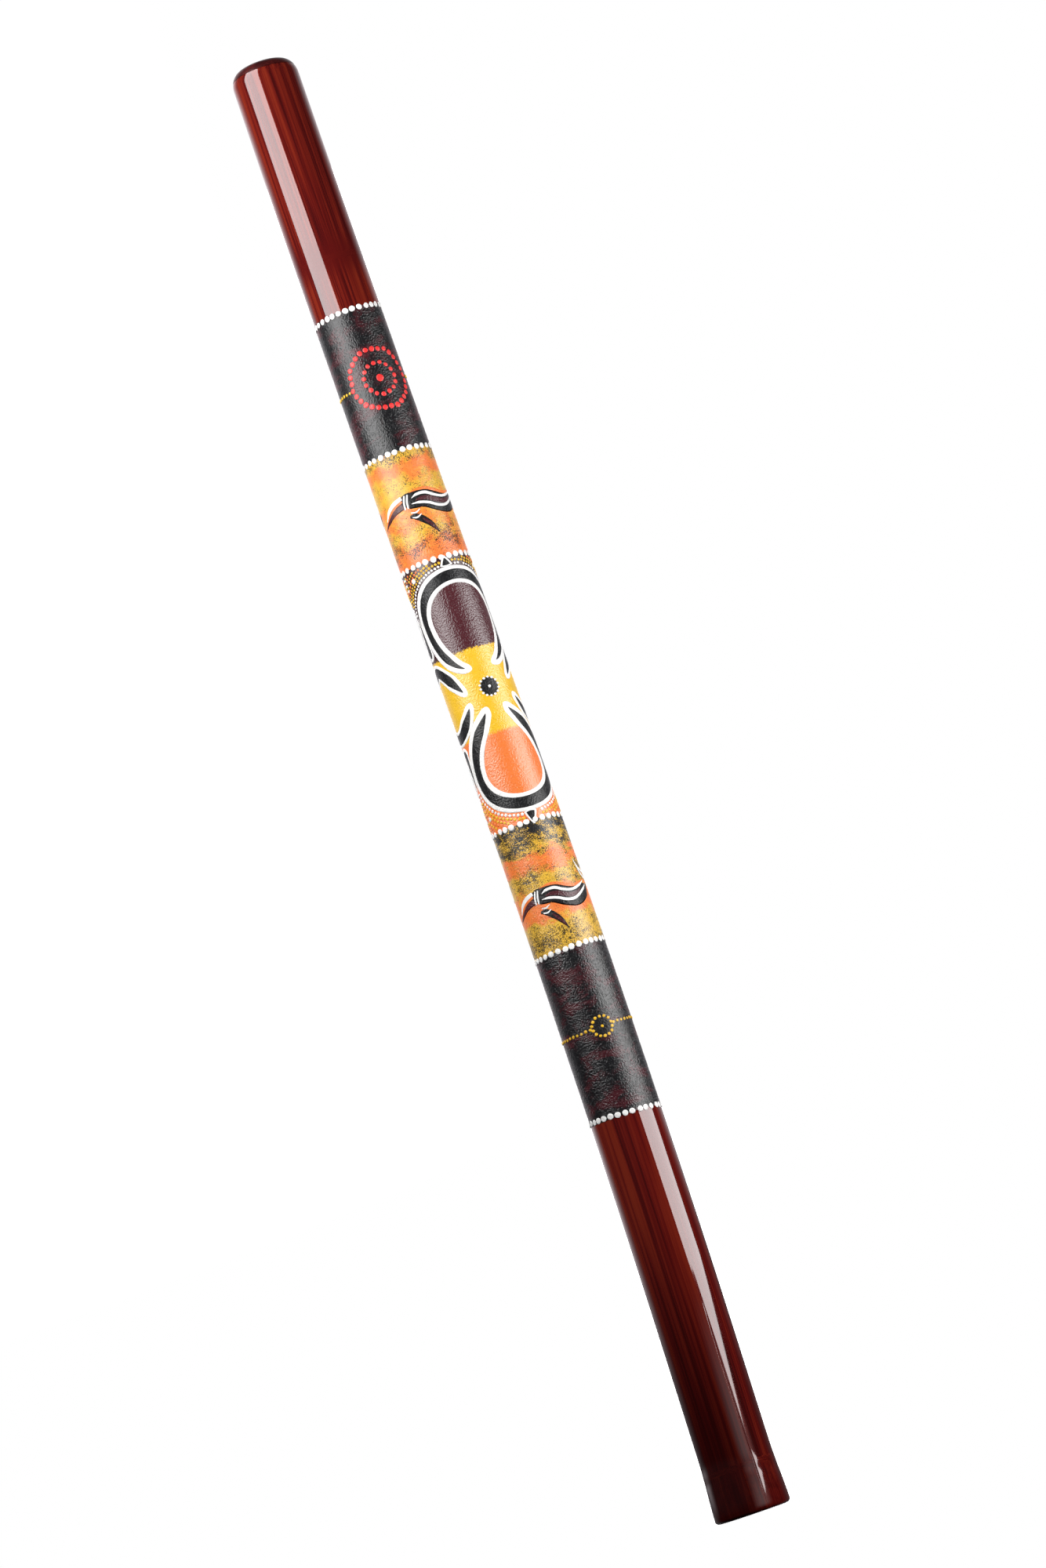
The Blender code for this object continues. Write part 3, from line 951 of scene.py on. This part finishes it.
class DIDGERIDOO_OT_mouth_ring(bpy.types.Operator):
    """Turn the mouth ring: bullnose, lip, hole and spigot"""
    bl_idname = "didgeridoo.mouth_ring"
    bl_label = "Mouth ring"

    def execute(self, context):
        base = CULM_TOP + JOINT
        lip = LENGTH - LIP_EDGE_RADIUS
        spigot = float(plain_radius(CULM_TOP)) - WALL - JOINT
        widening = spigot - SPIGOT_END_WALL - HOLE_RADIUS
        outline = bullnose(base, LENGTH, 14)
        outline += corner(HOLE_RADIUS + LIP_EDGE_RADIUS, lip, LIP_EDGE_RADIUS, 90)[1:]
        outline += [(HOLE_RADIUS, height) for height in levels(base, lip, 0.0015)[-2::-1]]
        outline += [(HOLE_RADIUS + widening * share, base + (SPIGOT_END - base) * share)
                    for share in levels(0.0, 1.0, 0.12)[1:]]
        outline += [(spigot, SPIGOT_END), (spigot, base)]
        piece = turned("fine_mouth_ring", outline, mouth_ring_finish(colours()))
        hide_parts("mouth_ring")
        return {"FINISHED"}


class DIDGERIDOO_OT_ground_coats(bpy.types.Operator):
    """Lay the five ground coats as thin sleeves"""
    bl_idname = "didgeridoo.ground_coats"
    bl_label = "Ground coats"

    def execute(self, context):
        shades = colours()
        bounds = [PAINT_TOP] + RINGS[1:5] + [PAINT_BOTTOM]
        dark = dark_band_finish(shades)
        coats = (
            ("upper_dark_paint", dark, "dark_paint"),
            ("upper_ochre_paint", ochre_finish(shades, "upper_ochre", bounds[2], bounds[1], UPPER_ZONES, 0.0),
             "ochre_paint"),
            ("middle_ground_paint", middle_finish(shades), "ground_paint"),
            ("lower_ochre_paint", ochre_finish(shades, "lower_ochre", bounds[4], bounds[3], LOWER_ZONES, 3.4),
             "ochre_paint"),
            ("lower_dark_paint", dark, "dark_paint"),
        )
        for (node, material, slot), high, low in zip(coats, bounds, bounds[1:]):
            heights = levels(low, high, 0.004)
            outline = skin(heights, COAT_PROUD) + skin(heights[::-1], -COAT_BACK)
            piece = turned("fine_" + node, outline, material)
            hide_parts(node)
        return {"FINISHED"}


class DIDGERIDOO_OT_white_dot_rings(bpy.types.Operator):
    """Set the rings of white dots between the bands"""
    bl_idname = "didgeridoo.white_dot_rings"
    bl_label = "White dot rings"

    def execute(self, context):
        size = sizes()
        for number, (height, (start, count, tilt)) in enumerate(zip(RINGS, RING_DOTS), start=1):
            chance = Random(40 + number)
            relief = Relief()
            for k in range(count):
                turn = radians(start) + 2 * pi * k / count + radians(chance.uniform(-1.4, 1.4))
                place = height + tilt * MM * sin(turn) + chance.uniform(-0.3, 0.3) * MM
                relief.dot(turn * PAINT_RADIUS, place, size.white_dot * chance.uniform(0.93, 1.06),
                           size.white_dot_height, chance, sides=26)
            piece = relief.piece("fine_white_dot_ring_%d" % number, "white")
            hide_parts("white_dot_ring_%d" % number)
        return {"FINISHED"}


class DIDGERIDOO_OT_yellow_dot_lines(bpy.types.Operator):
    """Set the yellow dotted lines, which leave room for the roundels"""
    bl_idname = "didgeridoo.yellow_dot_lines"
    bl_label = "Yellow dot lines"

    def execute(self, context):
        size = sizes()
        gaps = {"upper": (-42.0, 77.0), "lower": (-9.5, 29.5)}
        for (place, (left, right)), height in zip(gaps.items(), YELLOW_LINES):
            chance = Random(len(place) + int(right))
            relief = Relief()
            span = radians(360 + left - right)
            count = int(span * PAINT_RADIUS / size.yellow_dot_pitch)
            for k in range(count + 1):
                turn = radians(right) + span * k / count
                level = height + 1.3 * MM * sin(turn) + chance.uniform(-0.25, 0.25) * MM
                relief.dot(turn * PAINT_RADIUS, level, size.yellow_dot * chance.uniform(0.88, 1.1),
                           0.5 * MM, chance, sides=16)
            piece = relief.piece("fine_yellow_dot_line_" + place, "yellow")
            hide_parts("yellow_dot_line_" + place)
        return {"FINISHED"}


class DIDGERIDOO_OT_roundels(bpy.types.Operator):
    """Paint the red, yellow and white dotted roundels"""
    bl_idname = "didgeridoo.roundels"
    bl_label = "Roundels"

    def execute(self, context):
        chance = Random(7)
        upper = defaultdict(Relief)
        place = (radians(17.0) * PAINT_RADIUS, YELLOW_LINES[0] + 2 * MM)
        for radius, count, diameter in ((24.6, 29, 4.3), (13.0, 15, 3.7), (0.0, 1, 6.0)):
            ring_of_dots(upper["red"], place, radius * MM, count, diameter * MM, chance)
        finish_reliefs(upper, "upper_roundel")
        place = (radians(10.0) * PAINT_RADIUS, YELLOW_LINES[1])
        roundel("yellow", place, (7.2, 7.9, 2.4, 2.4), 0.05 * MM, 0.2, chance, "lower_roundel")
        for side, turn in BOTH_SIDES:
            place = (FRONT + turn * PAINT_RADIUS, CENTRE_HEIGHT)
            roundel("white", place, (7.7, 7.5, 1.9, 2.2), 0.12 * MM, 0.1, chance, "centre_roundel_" + side)
        return {"FINISHED"}


class DIDGERIDOO_OT_horseshoes(bpy.types.Operator):
    """Paint the white-bordered horseshoes, side leaves, drops and wedges of the middle band"""
    bl_idname = "didgeridoo.horseshoes"
    bl_label = "Horseshoes"

    def execute(self, context):
        for side, turn in BOTH_SIDES:
            axis = FRONT + turn * PAINT_RADIUS
            reliefs = defaultdict(Relief)
            arch(reliefs, axis, UPPER_ARCH, (6.6 * MM, 9.0 * MM))
            arch(reliefs, axis - 0.5 * MM, LOWER_ARCH, (8.4 * MM, 9.4 * MM))
            for place, base_height, tip_height in TRIANGLES:
                triangle(reliefs, place + degrees(turn), base_height, tip_height)
            finish_reliefs(reliefs, "horseshoes_" + side)
        for side, turn in (("left", -pi / 2), ("right", pi / 2)):
            axis = FRONT + turn * PAINT_RADIUS
            reliefs = defaultdict(Relief)
            for top, drop, bend, reach in SIDE_LEAVES:
                lifted = 4.5 * MM if side == "right" and drop > 0 else 0.0
                side_leaf(reliefs, axis, top + lifted, drop, bend, reach)
            for broad_end, point in SIDE_DROPS:
                side_drop(reliefs, axis, broad_end, point)
            finish_reliefs(reliefs, "side_leaves_" + side)
        return {"FINISHED"}


class DIDGERIDOO_OT_corner_dots(bpy.types.Operator):
    """Fill the corners round the horseshoes with small dots"""
    bl_idname = "didgeridoo.corner_dots"
    bl_label = "Corner dots"

    def execute(self, context):
        for side, turn in BOTH_SIDES:
            axis = FRONT + turn * PAINT_RADIUS
            chance = Random(11 if side == "front" else 12)
            upper, lower = defaultdict(Relief), defaultdict(Relief)
            corner_dots(upper, axis, UPPER_ARCH, 4.5 * MM, RINGS[2], chance, 1.0)
            corner_dots(lower, axis - 0.5 * MM, LOWER_ARCH, 4.7 * MM, RINGS[3], chance, 1.16)
            for hand in (-1, 1):
                for paints, aside, height, size in ((upper, 31.0, 0.7645, 4.3), (lower, 39.0, 0.5690, 3.9)):
                    across = axis + hand * aside * MM
                    paints["white"].dot(across, height, size * MM, 0.55 * MM, chance, sides=20)
                for height in (0.7685, 0.7640, 0.7600):
                    upper["white"].dot(axis + hand * 42.4 * MM, height, 2.4 * MM, 0.45 * MM, chance)
            finish_reliefs(upper, "upper_corners_" + side)
            finish_reliefs(lower, "lower_corners_" + side)
        return {"FINISHED"}


class DIDGERIDOO_OT_wave_motifs(bpy.types.Operator):
    """Brush the flowing striped leaves of the two ochre bands"""
    bl_idname = "didgeridoo.wave_motifs"
    bl_label = "Wave motifs"

    def execute(self, context):
        for copy, start in (("front", 0.0), ("back", 180.0)):
            upper, lower = defaultdict(Relief), defaultdict(Relief)
            wave_motif(upper, start, 0.8200, (0.97, 1.0))
            wave_motif(lower, start - 12.5, 0.4938, (0.87, 0.97))
            for turn, height in ((73.0, 0.5165), (77.0, 0.5105)):
                blade = ((-13, 0.003), (-7, -0.003), (4, -0.007), (16, -0.006))
                brushed(lower, "white", [(start + turn + aside, height + rise) for aside, rise in blade],
                        [0.5 * MM, 2.2 * MM, 2.4 * MM, 0.4 * MM])
            finish_reliefs(upper, "upper_wave_" + copy)
            finish_reliefs(lower, "lower_wave_" + copy)
        return {"FINISHED"}


def aimed(place, target, roll=0.0):
    """Matrix of a light or camera at place that looks at target, turned about its own axis."""
    away = (Vector(place) - Vector(target)).normalized()
    right = Vector((0.0, 0.0, 1.0)).cross(away).normalized()
    up = away.cross(right)
    matrix = Matrix((right, up, away)).transposed().to_4x4()
    return Matrix.Translation(place) @ matrix @ Matrix.Rotation(roll, 4, "Z")


def facing_culm(azimuth, distance, height, roll=0.0):
    """Matrix of a light that looks square at the culm. Azimuth 0 is the camera's side."""
    place = (distance * sin(radians(azimuth)), -distance * cos(radians(azimuth)), height)
    return aimed(place, (0.0, 0.0, height), roll)


def soft_light(name, matrix, size, brightness):
    """Rectangular light of an even brightness."""
    lamp = bpy.data.lights.new(name, "AREA")
    lamp.shape = "RECTANGLE"
    lamp.size, lamp.size_y = size
    lamp.energy = brightness * pi * size[0] * size[1]
    placed(name, lamp, matrix).visible_camera = False


def stage_sheet(name, matrix, size, material, unseen_by):
    """A flat rectangle of the stage, hidden from the rays in unseen_by."""
    mesh = bpy.data.meshes.new(name)
    signs = ((-1, -1), (1, -1), (1, 1), (-1, 1))
    mesh.from_pydata([(x * size[0] / 2, y * size[1] / 2, 0.0) for x, y in signs], [], [(0, 1, 2, 3)])
    mesh.materials.append(material)
    sheet = placed(name, mesh, matrix)
    for ray in unseen_by:
        setattr(sheet, "visible_" + ray, False)


def glowing_panel(name, matrix, size, brightness):
    """Dim panel with soft edges that only its reflection shows."""
    glow = Finish(name, {"Roughness": 1.0, "Specular IOR Level": 0.0, "Base Color": (*NO_LIGHT, 1.0),
                         "Emission Strength": brightness})
    across, upright = (glow.step((glow.along(axis) / (length / 2)).size(), 1.0, 0.0)
                       for axis, length in zip("XY", size))
    glow.put(glow.shader, {"Emission Color": glow.blend(across * upright, NO_LIGHT, FULL_LIGHT)})
    stage_sheet(name, matrix, size, glow.material, ("camera", "shadow"))


def white_surroundings(brightness):
    """World: plain white to look at. It lights from behind, and dims below the horizon and to the right."""
    world = bpy.data.worlds.new("studio_world")
    world.use_nodes = True
    sky = Sheet(world.node_tree, "Generated")
    seen = sky.node("ShaderNodeLightPath", {}, {}, "Is Camera Ray")
    strength = 1.0
    for axis, low, high, least, most in (("Y", 0.30, 0.92, 0.025, brightness), ("Z", 0.020, 0.068, 0.12, 1.0),
                                         ("X", -0.20, 0.45, 1.08, 0.66)):
        strength = strength * (sky.step(sky.along(axis), low, high) * (most - least) + least)
    tint = sky.blend(seen, (0.985, 0.955, 1.0), FULL_LIGHT)
    sky.put(world.node_tree.nodes["Background"], {"Color": tint, "Strength": strength.at_least(seen)})
    bpy.context.scene.world = world


def pale_floor():
    """White floor that throws no light on the object."""
    white = Finish("studio_white", {"Base Color": (*NO_LIGHT, 1.0), "Specular IOR Level": 0.0,
                                    "Emission Color": (*FULL_LIGHT, 1.0), "Emission Strength": 1.0})
    stage_sheet("studio_floor", Matrix(), (12.0, 12.0), white.material, ("diffuse", "glossy", "shadow"))


def studio_camera():
    """Camera that leans with the culm and looks a little upwards."""
    lens = bpy.data.cameras.new("studio_camera")
    lens.sensor_fit = "AUTO"
    lens.sensor_width = 36.0
    lens.lens = FOCAL_LENGTH
    tilt = radians(CAMERA_TILT)
    target = Vector(CAMERA_TARGET)
    place = target - CAMERA_DISTANCE * Vector((0.0, cos(tilt), sin(tilt)))
    return placed("studio_camera", lens, aimed(place, target, radians(CAMERA_ROLL)))


class DIDGERIDOO_OT_studio(bpy.types.Operator):
    """Set the camera, soft lights, white surroundings and floor"""
    bl_idname = "didgeridoo.studio"
    bl_label = "Studio"

    def execute(self, context):
        scene = context.scene
        studio = scene.didgeridoo_studio
        white_surroundings(studio.surroundings)
        pale_floor()
        soft_light("tall_left_light", facing_culm(-45.0, 1.0, 1.68), (1.05, 1.85), studio.key)
        right = facing_culm(67.0, 1.0, 0.538, radians(12.5))
        soft_light("low_right_light", right, (0.90, 0.85), studio.low)
        glowing_panel("low_glow", facing_culm(38.0, 1.0, 0.040), (1.25, 0.34), LOW_GLOW * studio.low)
        soft_light("back_light", facing_culm(180.0, 1.2, 0.62), (0.50, 1.60), studio.back)
        scene.camera = studio_camera()
        scene.view_settings.view_transform = "Standard"
        return {"FINISHED"}


OPERATORS = (
    DIDGERIDOO_OT_culm,
    DIDGERIDOO_OT_mouth_ring,
    DIDGERIDOO_OT_ground_coats,
    DIDGERIDOO_OT_white_dot_rings,
    DIDGERIDOO_OT_yellow_dot_lines,
    DIDGERIDOO_OT_roundels,
    DIDGERIDOO_OT_horseshoes,
    DIDGERIDOO_OT_corner_dots,
    DIDGERIDOO_OT_wave_motifs,
    DIDGERIDOO_OT_studio,
)


class DIDGERIDOO_PT_panel(bpy.types.Panel):
    """Sidebar panel with every step and setting"""
    bl_label = "Didgeridoo"
    bl_idname = "DIDGERIDOO_PT_panel"
    bl_space_type = "VIEW_3D"
    bl_region_type = "UI"
    bl_category = "Didgeridoo"

    def draw(self, context):
        layout = self.layout
        for operator in OPERATORS:
            layout.operator(operator.bl_idname)
        for group in ("didgeridoo_sizes", "didgeridoo_colours", "didgeridoo_studio"):
            settings = getattr(context.scene, group)
            box = layout.box()
            for name in settings.bl_rna.properties.keys():
                if name not in ("rna_type", "name"):
                    box.prop(settings, name)


GROUPS = {
    "didgeridoo_sizes": DidgeridooSizes,
    "didgeridoo_colours": DidgeridooColours,
    "didgeridoo_studio": DidgeridooStudio,
}


def register():
    for part in (*GROUPS.values(), *OPERATORS, DIDGERIDOO_PT_panel):
        bpy.utils.register_class(part)
    for name, group in GROUPS.items():
        setattr(bpy.types.Scene, name, bpy.props.PointerProperty(type=group))


def unregister():
    for name in GROUPS:
        delattr(bpy.types.Scene, name)
    for part in (DIDGERIDOO_PT_panel, *reversed(OPERATORS), *reversed(GROUPS.values())):
        bpy.utils.unregister_class(part)


def main():
    register()
    for operator in OPERATORS:
        group, name = operator.bl_idname.split(".")
        getattr(getattr(bpy.ops, group), name)()


if __name__ == "__main__":
    main()
